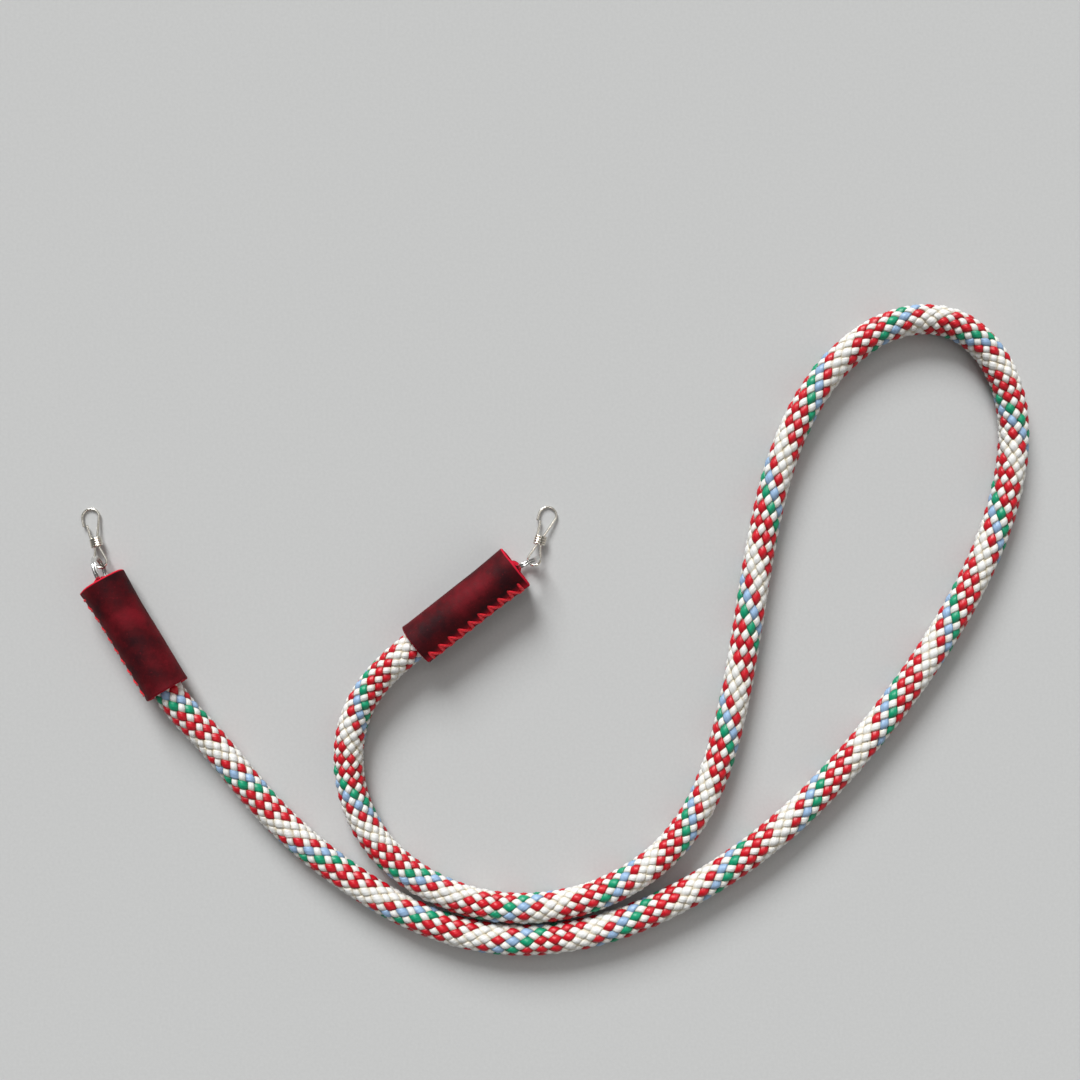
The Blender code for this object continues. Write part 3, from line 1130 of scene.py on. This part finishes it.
def sleeve_profile():
    """The sleeve's wall cut along its length: (x from the mouth, radius, share of raw edge, inner side)."""
    outer, inner, quarter = SLEEVE_CORNER, SLEEVE_CORNER / 2, math.pi / 2
    start = -SLEEVE_LENGTH
    mouth, end = sleeve_radius(0), sleeve_radius(start)
    profile = [(x, sleeve_radius(x), 0.0, 0) for x in np.linspace(start + outer, -outer, OUTER_POINTS)]
    edge = arc((-outer, mouth - outer), outer, quarter, 0, steps=6)[1:]
    edge += arc((-inner, mouth - SLEEVE_WALL + inner), inner, 0, -quarter, steps=5)[1:]
    profile += [(x, radius, 1.0, 0) for x, radius in edge]
    for x in np.linspace(-outer, start + outer, INNER_POINTS)[1:]:
        profile.append((x, sleeve_radius(x) - SLEEVE_WALL, 0.0, 1))
    edge = arc((start + inner, end - SLEEVE_WALL + inner), inner, -quarter, -2 * quarter, steps=4)[1:]
    profile += [(x, radius, 1.0, 0) for x, radius in edge]
    edge = arc((start + outer, end - outer), outer, 2 * quarter, quarter, steps=5)[:-1]
    profile += [(x, radius, (end - radius) / outer, 0) for x, radius in edge]
    return profile


def stitch_places(settings):
    """Distances from the mouth of the stitch holes, the first one nearest the rope."""
    return np.linspace(-FIRST_HOLE * SLEEVE_LENGTH, -FINAL_HOLE * SLEEVE_LENGTH, settings.stitches)


def seam_angle(row):
    """The seam's place round the sleeve, turned from the sleeve's left side towards its top."""
    return row["seam_rise"] if row["seam_side"] > 0 else math.pi - row["seam_rise"]


def seam_swell(x, away):
    """How far the leather swells out beside its seam, x from the mouth and away round from the seam."""
    lips = LIP_HEIGHT * bell(abs(away) - LIP_PLACE, LIP_WIDTH)
    towards_mouth = max(0.0, 1 + x / MOUTH_SWELL_LENGTH)
    return lips + MOUTH_SWELL_HEIGHT * bell(away, MOUTH_SWELL_WIDTH) * towards_mouth


def add_sleeve(row, materials, settings):
    """One sleeve: a rolled wall with the groove, the swell and the holes of its seam, flat underneath."""
    matrix = end_matrix(row["side"])
    seam = seam_angle(row)
    holes = stitch_places(settings)
    profile = sleeve_profile()
    shares = np.arange(settings.sides) / settings.sides
    crowded = shares - CROWDING * np.sin(math.tau * shares) / math.tau
    vertices, marks = [], []
    for x, radius, raw, inner in profile:
        near = abs(holes - x).min()
        for angle in math.tau * crowded:
            away = SLEEVE_RADIUS * (angle if angle < math.pi else angle - math.tau)
            turn = seam + angle
            y, z = math.cos(turn), math.sin(turn)
            spot = Vector((x * UNEVEN_ALONG, y * UNEVEN_ROUND, z * UNEVEN_ROUND))
            spot.z += UNEVEN_APART * row["seam_side"]
            here = radius + UNEVEN_HEIGHT * noise.noise(spot)
            marked = raw
            groove = bell(away, GROOVE_WIDTH)
            if not inner:
                here += seam_swell(x, away) - GROOVE_DEPTH * groove
                bare = min(1.0, BARE_STRENGTH * bell(away, BARE_WIDTH))
                marked = max(raw, bare, WORN_STRENGTH * bell(away, WORN_WIDTH, power=4))
                from_hole = math.hypot(abs(away) - settings.stitch_width / 2, near)
                here -= DIMPLE_DEPTH * bell(from_hole, DIMPLE_RADIUS)
                here -= WAIST_DEPTH * bell(near, WAIST_LENGTH) * bell(away, WAIST_WIDTH)
            across, up = math.cos(angle) * RAGGED_ROUND, math.sin(angle) * RAGGED_ROUND
            ragged = RAGGED_HEIGHT * noise.noise(Vector((RAGGED_PLACE + x * RAGGED_ALONG, across, up)))
            slit = math.copysign(SLIT_DEPTH, x + SLEEVE_LENGTH / 2) * groove
            place = Vector((x + (ragged - slit) * raw, here * y, max(0.0, AXIS_HEIGHT + here * z)))
            vertices.append(matrix @ place)
            marks.append(marked)
    rows, columns = len(profile), settings.sides
    row_places = [i / rows for i in range(rows + 1)]
    column_places = [k / columns for k in range(columns + 1)]
    faces, places = lattice(rows, columns, row_places, column_places, close_rows=True)
    inside = [inner for _, _, _, inner in profile]
    finish = [inside[i] and inside[(i + 1) % rows] for i in range(rows) for _ in range(columns)]
    surface = Surface()
    surface.add(vertices, faces, places, finish, marks)
    piece = surface.build(f"leather_sleeve_{row['side']}", materials)
    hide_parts(f"sleeve_{row['side']}")


class StrapSleeves(bpy.types.Operator):
    """Shape the two leather sleeves, each rolled to a butt seam with raw cut edges"""

    bl_idname = "strap.sleeves"
    bl_label = "Leather sleeves"

    def execute(self, context):
        settings = context.scene.strap_sleeve
        materials = [leather_finish(settings), flesh_finish(settings)]
        for row in ENDS:
            add_sleeve(row, materials, settings)
        return {"FINISHED"}


def thread_finish(settings):
    """Waxed thread with its plies laid round it."""
    material, tree, shader = new_finish("waxed thread", {"Specular IOR Level": 0.4})
    place = add_node(tree, "ShaderNodeUVMap", uv_map="strip").outputs["UV"]
    split = add_node(tree, "ShaderNodeSeparateXYZ", {"Vector": place})
    turned = calculate(tree, "MULTIPLY", split.outputs["Y"], PLY_PITCH)
    spiral = calculate(tree, "MULTIPLY_ADD", split.outputs["X"], PLY_RIDGES, turned)
    plies = calculate(tree, "PINGPONG", spiral, 1.0)
    # Painted shade in the grooves between the plies, and painted light on their crowns
    tree.links.new(tones(tree, plies, settings.thread, PLY_PAINTED_SHADE), shader.inputs["Base Color"])
    wax = speckle(tree, stretched(tree, place, WAX_STRETCH), 1.0)
    tree.links.new(ramp(tree, wax, WAX_ROUGHNESS), shader.inputs["Roughness"])
    relief(tree, shader, ((plies, PLY_RELIEF),))
    return material


def add_stitches(row, material, settings):
    """Waxed thread in a zigzag over the seam: straight across at each pair of holes, then aslant."""
    matrix = end_matrix(row["side"])
    seam = seam_angle(row)
    radius = settings.thread_thickness / 2
    half = settings.stitch_width / 2 / SLEEVE_RADIUS
    side = row["seam_side"]
    holes = stitch_places(settings)
    strokes = [((x, side), (x, -side)) for x in holes]
    strokes += [((x, side), (after, -side)) for x, after in zip(holes, holes[1:])]
    shares = np.linspace(0, 1, STITCH_POINTS)
    radii = [radius * (1 - STITCH_TAPER + STITCH_TAPER * math.sin(math.pi * share)) for share in shares]
    surface = Surface()
    for (start_x, start_side), (stop_x, stop_side) in strokes:
        stand = STITCH_HEIGHT + (SLANTED_HEIGHT if start_x != stop_x else 0.0)
        path = []
        for share in shares:
            lift = math.sin(math.pi * share) ** STITCH_RISE if 0 < share < 1 else 0.0
            x = start_x + (stop_x - start_x) * share
            turn = half * (start_side + (stop_side - start_side) * share)
            height = sleeve_radius(x) + seam_swell(x, turn * SLEEVE_RADIUS) + lift * stand - HOLE_DEPTH
            y, z = height * math.cos(seam + turn), AXIS_HEIGHT + height * math.sin(seam + turn)
            path.append(matrix @ Vector((x, y, z)))
        tube(surface, path, radii, STITCH_SIDES)
    surface.build(f"stitches_{row['side']}", [material])


class StrapStitches(bpy.types.Operator):
    """Sew each sleeve's seam with waxed thread"""

    bl_idname = "strap.stitches"
    bl_label = "Stitches"

    def execute(self, context):
        settings = context.scene.strap_sleeve
        material = thread_finish(settings)
        for row in ENDS:
            add_stitches(row, material, settings)
        return {"FINISHED"}


def loop_sizes(ring_turn):
    """The loop's half hollow, and how far out of the mouth its fold starts and the ring's near wire is."""
    turn = abs(ring_turn)
    pivot = RING_STAND_OUT - RING_MIDDLE * math.cos(turn)
    crown = RING_MIDDLE - math.sqrt(RING_INSIDE**2 - (LOOP_WIDTH / 2) ** 2)
    corner_x = pivot + crown * math.cos(turn) - RING_AXIAL / 2 * math.sin(turn)
    corner_y = crown * math.sin(turn) + RING_AXIAL / 2 * math.cos(turn)
    clear = corner_y + FIT_GAP
    fold = corner_x - math.sqrt(clear**2 - corner_y**2)
    return clear + FIT_GAP, fold, pivot


def add_loop(row, material):
    """One leather strip from the rope's end round the ring and back, its cut edges facing up and down."""
    matrix = end_matrix(row["side"])
    hollow, fold, _ = loop_sizes(row["ring_turn"])
    middle = hollow + LOOP_THICKNESS / 2
    back = FIT_GAP - ROPE_END_DEPTH
    path = [(x, math.pi / 2) for x in np.linspace(back, fold, LEG_POINTS)[:-1]]
    path += [(fold, turn) for turn in np.linspace(math.pi / 2, -math.pi / 2, FOLD_POINTS)]
    path += [(x, -math.pi / 2) for x in np.linspace(fold, back, LEG_POINTS)[1:]]
    section = strip_section(LOOP_THICKNESS, LOOP_WIDTH, LOOP_CORNER, LOOP_CORNER_STEPS)
    vertices, marks = [], []
    for i, (x, turn) in enumerate(path):
        for across, width in section:
            spot = Vector((i, across, width)) * Vector(LOOP_UNEVEN_SCALES)
            radius = middle + across + LOOP_UNEVEN_HEIGHT * noise.noise(spot)
            place = Vector((x + radius * math.cos(turn), radius * math.sin(turn), AXIS_HEIGHT + width))
            vertices.append(matrix @ place)
            marks.append(1.0 if abs(width) > LOOP_WIDTH / 2 - LOOP_EDGE else 0.0)
    rows, columns = len(path), len(section)
    row_places = [i / rows for i in range(rows)]
    faces, places = lattice(rows, columns, row_places, [k / columns for k in range(columns + 1)])
    close_ends(faces, places, rows, columns, (0.5, 0.5))
    surface = Surface()
    surface.add(vertices, faces, places, marks=marks)
    piece = surface.build(f"leather_loop_{row['side']}", [material])
    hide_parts(f"ring_loop_{row['side']}")


class StrapRingLoops(bpy.types.Operator):
    """Fold a leather strip round each split ring, in the sleeve's mouth"""

    bl_idname = "strap.ring_loops"
    bl_label = "Ring loops"

    def execute(self, context):
        material = leather_finish(context.scene.strap_sleeve)
        material.name = "loop leather"
        for row in ENDS:
            add_loop(row, material)
        return {"FINISHED"}


def metal_finish(name, color, roughness):
    """Bright plated wire with fine handling marks."""
    material, tree, shader = new_finish(name, {"Metallic": 1.0})
    place = add_node(tree, "ShaderNodeTexCoord").outputs["Object"]
    marks = speckle(tree, place, HANDLING_SCALE, detail=3.0, roughness=0.6)
    wear = speckle(tree, place, WEAR_SCALE)
    tree.links.new(tones(tree, wear, color, WEAR_TONES), shader.inputs["Base Color"])
    gloss = ramp(tree, marks, [(at, roughness * share) for at, share in HANDLING_ROUGHNESS])
    tree.links.new(gloss, shader.inputs["Roughness"])
    relief(tree, shader, ((marks, HANDLING_RELIEF),))
    return material


def ring_place(ring_turn):
    """The split ring's middle from the mouth, and its plane's level direction."""
    pivot = loop_sizes(ring_turn)[2]
    along = Vector((math.cos(ring_turn), math.sin(ring_turn), 0))
    return Vector((pivot, 0, AXIS_HEIGHT)) + RING_MIDDLE * along, along


def add_ring(row, material, settings):
    """Flat wire coiled twice round, stepping over from the first turn to the second."""
    middle, _ = ring_place(row["ring_turn"])
    place = Matrix.Translation(middle) @ Matrix.Rotation(row["ring_turn"], 4, "Z")
    matrix = end_matrix(row["side"]) @ place
    flat = (RING_AXIAL - TURNS_APART) / 2
    pitch = flat + TURNS_APART
    section = strip_section(RING_RADIAL, flat, RING_CORNER, RING_CORNER_STEPS)
    vertices = []
    turns = np.linspace(0, 2 * math.tau - STEP_OVER, 2 * settings.ring_steps)
    for turn in turns:
        share = min(1.0, max(0.0, (turn - (math.tau - STEP_OVER)) / STEP_OVER))
        side = pitch * (share * share * (3 - 2 * share) - 0.5)
        for out, across in section:
            radius = RING_MIDDLE + out
            at = RING_START + turn
            vertices.append(matrix @ Vector((radius * math.cos(at), side + across, radius * math.sin(at))))
    rows, columns = len(turns), len(section)
    column_places = [k / columns for k in range(columns + 1)]
    faces, places = lattice(rows, columns, [turn * 2 for turn in turns], column_places)
    close_ends(faces, places, rows, columns, (0.5, 0.5))
    surface = Surface()
    surface.add(vertices, faces, places)
    piece = surface.build(f"ring_{row['side']}", [material])
    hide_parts(f"split_ring_{row['side']}")


class StrapSplitRings(bpy.types.Operator):
    """Coil the two split rings"""

    bl_idname = "strap.split_rings"
    bl_label = "Split rings"

    def execute(self, context):
        settings = context.scene.strap_metal
        material = metal_finish("bright nickel", settings.nickel, RING_ROUGHNESS)
        for row in ENDS:
            add_ring(row, material, settings)
        return {"FINISHED"}


def hook_line():
    """The hook's wire in its own plane: from the gate's end through wrap, eye, wrap and head to the tip."""
    half = HOOK_WIRE / 2
    quarter = math.pi / 2
    wrap_end = HOOK_WRAP_START + HOOK_WRAP_LENGTH
    head_radius = HOOK_HEAD_WIDTH / 2 - half
    eye_radius = HOOK_EYE_WIDTH / 2 - half
    head_middle = (HOOK_LENGTH - HOOK_HEAD_WIDTH / 2, 0.0)
    eye_middle = (half + eye_radius, 0.0)
    leg = half + FIT_GAP
    gate_side = head_radius - HOOK_WIRE - FIT_GAP
    line = [(HOOK_GATE_END, gate_side), (wrap_end, gate_side - half), (HOOK_WRAP_START, leg)]
    line += arc(eye_middle, eye_radius, quarter, 3 * quarter, ARC_STEPS)
    line += [(HOOK_WRAP_START, -leg), (wrap_end, -leg)]
    line += arc(head_middle, head_radius, -quarter, quarter, ARC_STEPS)
    line.append((HOOK_GATE_END - half, head_radius))
    return line


def hook_matrix(ring_turn, hook_turn):
    """Where the hook lies: its eye round the ring's lower outer wire, and its head down on the floor."""
    middle, along = ring_place(ring_turn)
    down = Vector((0, 0, -1))
    towards = math.cos(HOOK_SEAT_ANGLE) * along + math.sin(HOOK_SEAT_ANGLE) * down
    seat = middle + RING_MIDDLE * towards
    eye_at = HOOK_WIRE + FIT_GAP + (RING_RADIAL + RING_AXIAL) / 2
    lowest = HOOK_WIRE / 2 + SURFACE_GAP
    slope = math.asin((seat.z - lowest) / (HOOK_LENGTH - HOOK_WIRE / 2 - eye_at))
    turned = Matrix.Rotation(hook_turn, 4, "Z") @ Matrix.Rotation(slope, 4, "Y")
    return Matrix.Translation(seat) @ turned @ Matrix.Translation((-eye_at, 0, 0))


def add_hook(row, material, settings):
    """One wire bent to an eye, two legs and a head, and a second wound round the legs."""
    matrix = end_matrix(row["side"]) @ hook_matrix(row["ring_turn"], row["hook_turn"])
    corners = np.array(hook_line())
    knots = distances(corners)
    even = np.linspace(0, knots[-1], HOOK_POINTS)
    flat = np.stack([np.interp(even, knots, corners[:, k]) for k in range(2)], axis=1)
    for _ in range(BEND_PASSES):
        flat[2:-2] = (flat[:-4] + flat[1:-3] * 2 + flat[2:-2] * 2 + flat[3:-1] * 2 + flat[4:]) / 8
    path = [matrix @ Vector((x, y, 0.0)) for x, y in flat]
    radius = HOOK_WIRE / 2
    surface = Surface()
    tube(surface, path, rounded_tips(even, knots[-1], radius), settings.wire_sides)

    # The wrap clears both legs, which lie a wire and two gaps apart
    half_wide, half_high = HOOK_WIRE * 1.5 + 2 * FIT_GAP, HOOK_WIRE
    pitch = HOOK_WRAP_LENGTH / HOOK_WRAP_TURNS
    coil = []
    for wind in np.linspace(0, math.tau * (HOOK_WRAP_TURNS - 0.5), WRAP_POINTS):
        x = HOOK_WRAP_START + pitch / 2 + pitch * wind / math.tau
        coil.append(matrix @ Vector((x, half_wide * math.cos(wind), half_high * math.sin(wind))))
    lengths = distances(coil)
    tube(surface, coil, rounded_tips(lengths, lengths[-1], radius * WRAP_THINNESS), settings.wire_sides)
    piece = surface.build(f"snap_hook_{row['side']}", [material])
    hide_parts(f"wire_hook_{row['side']}")


class StrapWireHooks(bpy.types.Operator):
    """Bend the two wire snap hooks"""

    bl_idname = "strap.wire_hooks"
    bl_label = "Wire hooks"

    def execute(self, context):
        settings = context.scene.strap_metal
        material = metal_finish("hook wire", settings.wire, HOOK_ROUGHNESS)
        for row in ENDS:
            add_hook(row, material, settings)
        return {"FINISHED"}


OPERATORS = (
    StrapStage,
    StrapRope,
    StrapSleeves,
    StrapStitches,
    StrapRingLoops,
    StrapSplitRings,
    StrapWireHooks,
)
SETTINGS = {
    "strap_rope": StrapRopeSettings,
    "strap_sleeve": StrapSleeveSettings,
    "strap_metal": StrapMetalSettings,
    "strap_stage": StrapStageSettings,
}


class StrapPanel(bpy.types.Panel):
    """Lists the strap's operators and their settings"""

    bl_idname = "VIEW3D_PT_strap"
    bl_label = "Rope camera strap"
    bl_space_type = "VIEW_3D"
    bl_region_type = "UI"
    bl_category = "Strap"

    def draw(self, context):
        for operator in OPERATORS:
            self.layout.operator(operator.bl_idname)
        for name, group in SETTINGS.items():
            box = self.layout.box()
            for entry in group.__annotations__:
                box.prop(getattr(context.scene, name), entry)


def register():
    """Registers the classes and hangs their settings on the scene."""
    for group in (*SETTINGS.values(), *OPERATORS, StrapPanel):
        bpy.utils.register_class(group)
    for name, group in SETTINGS.items():
        setattr(bpy.types.Scene, name, bpy.props.PointerProperty(type=group))


def unregister():
    """Takes the settings and the classes away again."""
    for name in SETTINGS:
        delattr(bpy.types.Scene, name)
    for group in reversed((*SETTINGS.values(), *OPERATORS, StrapPanel)):
        bpy.utils.unregister_class(group)


def main():
    """Dresses the whole strap."""
    register()
    for operator in OPERATORS:
        group, name = operator.bl_idname.split(".")
        getattr(getattr(bpy.ops, group), name)()
    bpy.context.view_layer.update()


if __name__ == "__main__":
    main()
